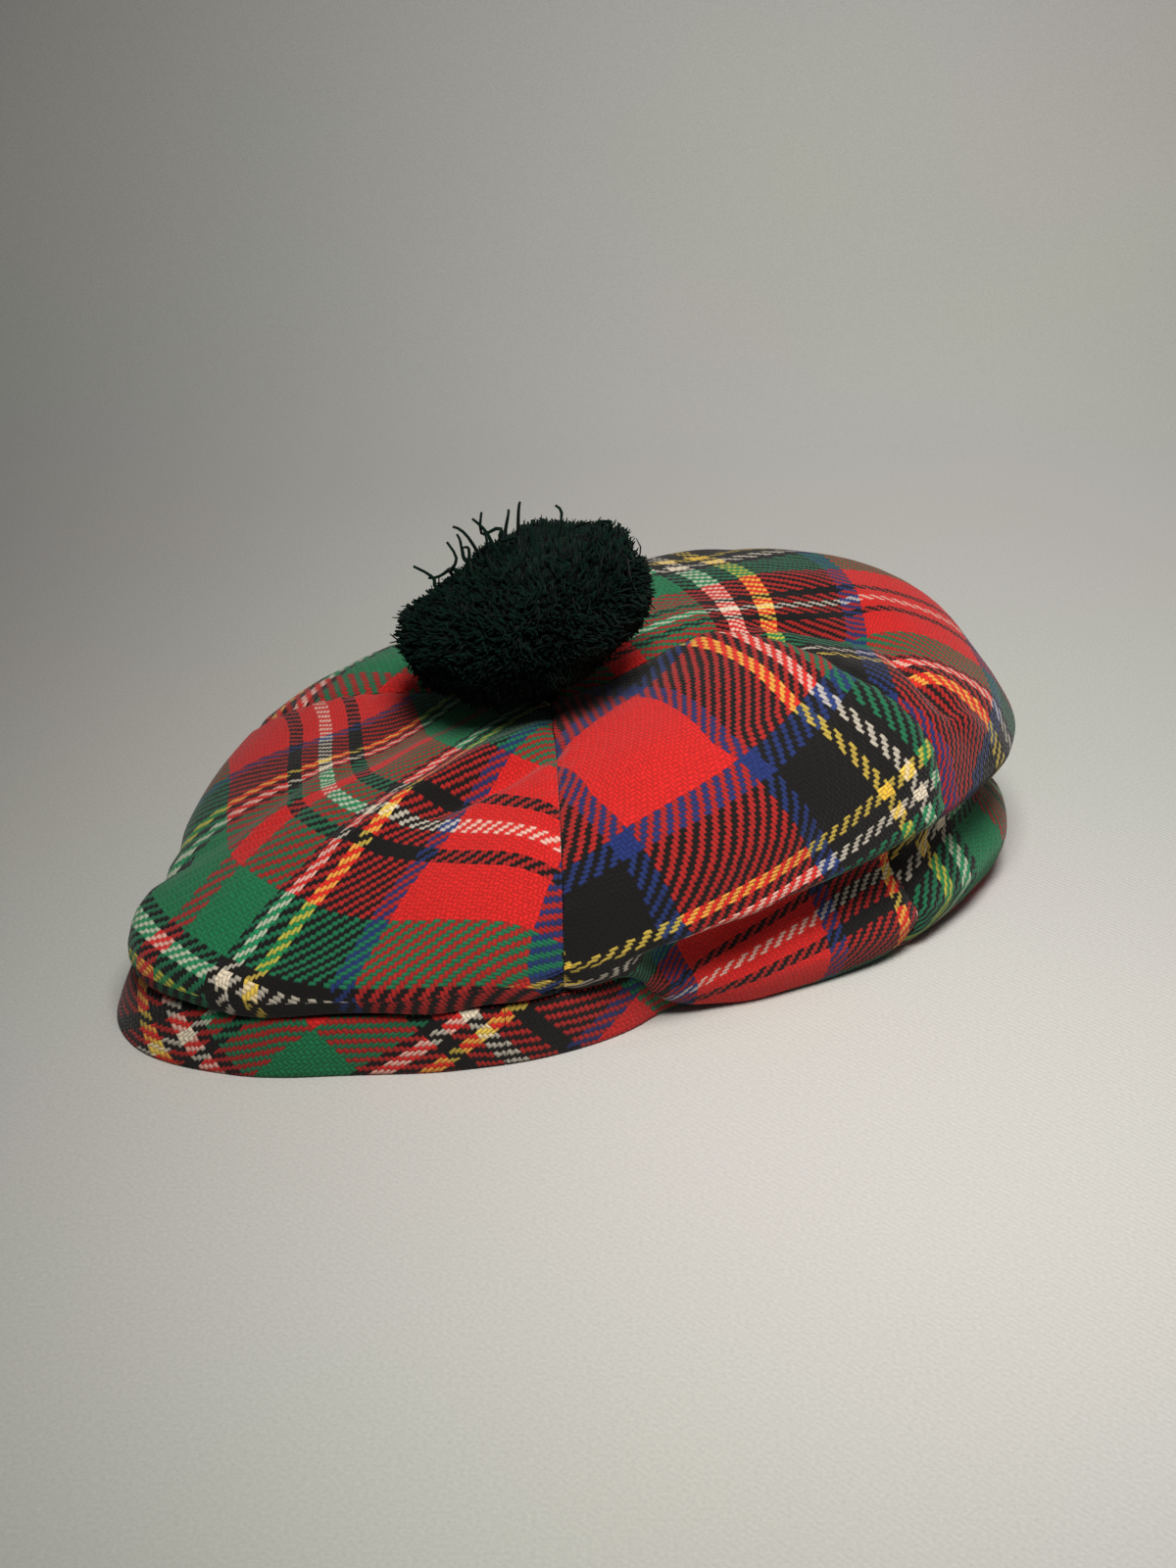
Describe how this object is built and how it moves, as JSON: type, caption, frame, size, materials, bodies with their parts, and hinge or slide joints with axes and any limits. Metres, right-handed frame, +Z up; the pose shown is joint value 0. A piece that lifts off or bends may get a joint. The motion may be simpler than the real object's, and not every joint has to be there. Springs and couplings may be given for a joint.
{
  "type": "tam o' shanter",
  "caption": "Soft round tartan cap of wedge panels gathered on a headband, slouched as it lies, with a dense yarn pompom on top.",
  "frame": {"origin": "on the floor, under the middle of the outline", "axes": "+Z up, -Y the side that faces the viewer with the seam between the two front panels, +X to the viewer's right, where the crown is puffed up"},
  "size_m": [0.281, 0.241, 0.1275],
  "materials": {
    "tartan_front_left": "matte wool twill in red, green, blue, black, yellow and white checks",
    "tartan_front_right": "matte wool twill in red, blue, black, yellow and white checks",
    "tartan_back_right": "matte wool twill in red, green, black, yellow and white checks",
    "tartan_back_left": "matte wool twill in checks",
    "tartan_bias": "matte wool twill cut on the bias",
    "pompom_yarn": "dense cut pile of very dark green wool yarn"
  },
  "bodies": {
    "root": {"crown_panel_front_left": "tartan_front_left", "crown_panel_front_right": "tartan_front_right", "crown_panel_back_right": "tartan_back_right", "crown_panel_back_left": "tartan_back_left", "headband": "tartan_bias", "toorie": "pompom_yarn"}
  },
  "joints": []
}
